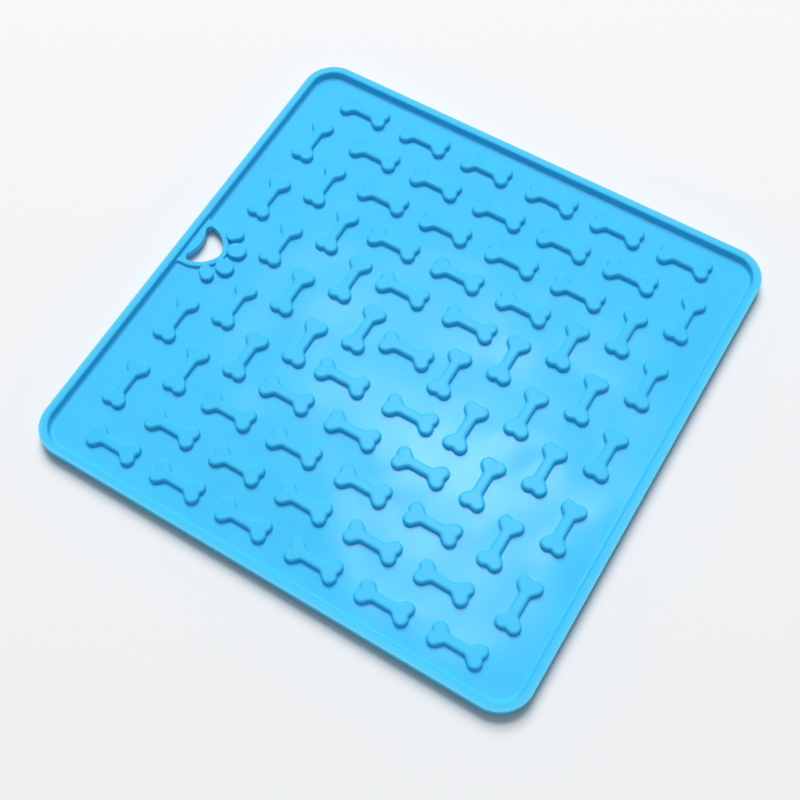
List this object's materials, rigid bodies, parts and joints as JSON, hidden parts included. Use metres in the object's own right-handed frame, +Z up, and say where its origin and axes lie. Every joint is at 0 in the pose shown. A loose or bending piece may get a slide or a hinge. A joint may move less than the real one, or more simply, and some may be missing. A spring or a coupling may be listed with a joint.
{
  "type": "lick mat",
  "caption": "Square silicone lick mat: shallow rimmed tray with raised bone relief, a paw whose palm is a hanging hole, and small suction cups underneath.",
  "frame": {"origin": "middle of the mat, in the plane of the suction cups' lips that it stands on", "axes": "+Z up out of the tray; the paw-shaped hanging hole is at the middle of the -X side, its toes pointing to +X; +Y along the paw's side, so the mat is its own mirror image across the XZ plane"},
  "size_m": [0.205, 0.205, 0.0056],
  "materials": {
    "silicone_sheet": "satin",
    "silicone_relief": "satin",
    "silicone_cups": "gloss"
  },
  "bodies": {
    "root": {"base_sheet": "silicone_sheet", "raised_rim": "silicone_relief", "hole_collar": "silicone_relief", "inner_toe_north": "silicone_relief", "inner_toe_south": "silicone_relief", "outer_toe_north": "silicone_relief", "outer_toe_south": "silicone_relief", "centre_bone": "silicone_relief", "north_row_1": "silicone_relief", "north_row_2": "silicone_relief", "north_row_3": "silicone_relief", "north_row_4": "silicone_relief", "north_row_5": "silicone_relief", "south_row_1": "silicone_relief", "south_row_2": "silicone_relief", "south_row_3": "silicone_relief", "south_row_4": "silicone_relief", "south_row_5": "silicone_relief", "east_column_1": "silicone_relief", "east_column_2": "silicone_relief", "east_column_3": "silicone_relief", "east_column_4": "silicone_relief", "east_column_5": "silicone_relief", "west_column_1": "silicone_relief", "west_column_2": "silicone_relief", "west_column_3": "silicone_relief", "west_column_4": "silicone_relief", "west_column_5": "silicone_relief", "cup_row_1": "silicone_cups", "cup_row_2": "silicone_cups", "cup_row_3": "silicone_cups", "cup_row_4": "silicone_cups", "cup_row_5": "silicone_cups", "cup_row_6": "silicone_cups", "cup_row_7": "silicone_cups"}
  },
  "joints": []
}
